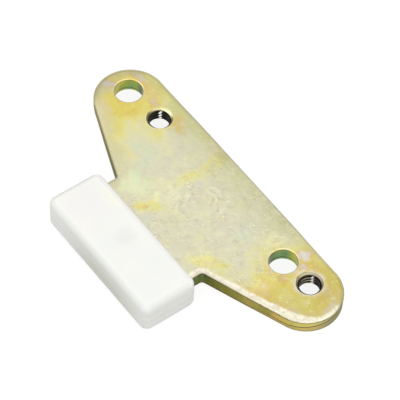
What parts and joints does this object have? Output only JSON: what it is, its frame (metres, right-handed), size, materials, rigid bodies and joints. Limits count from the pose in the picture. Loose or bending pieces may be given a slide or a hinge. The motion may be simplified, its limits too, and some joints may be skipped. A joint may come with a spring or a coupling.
{
  "type": "elevator door guide shoe",
  "caption": "Flat plated steel plate with two rounded ends and a tongue, carrying a rounded white nylon block that slides in a door sill groove.",
  "frame": {"origin": "on the plate's underside, midway between the centres of its two rounded ends", "axes": "+X along the straight back edge, +Y from the nylon block towards the back edge, +Z out of the plate's upper face, which has the rolled edges"},
  "size_m": [0.0878, 0.0438, 0.009],
  "materials": {
    "plated_steel": "zinc plated and yellow passivated, softly iridescent",
    "nylon": "moulded natural nylon, satin"
  },
  "bodies": {
    "root": {"mounting_plate": "plated_steel", "shoe_block": "nylon"}
  },
  "joints": []
}
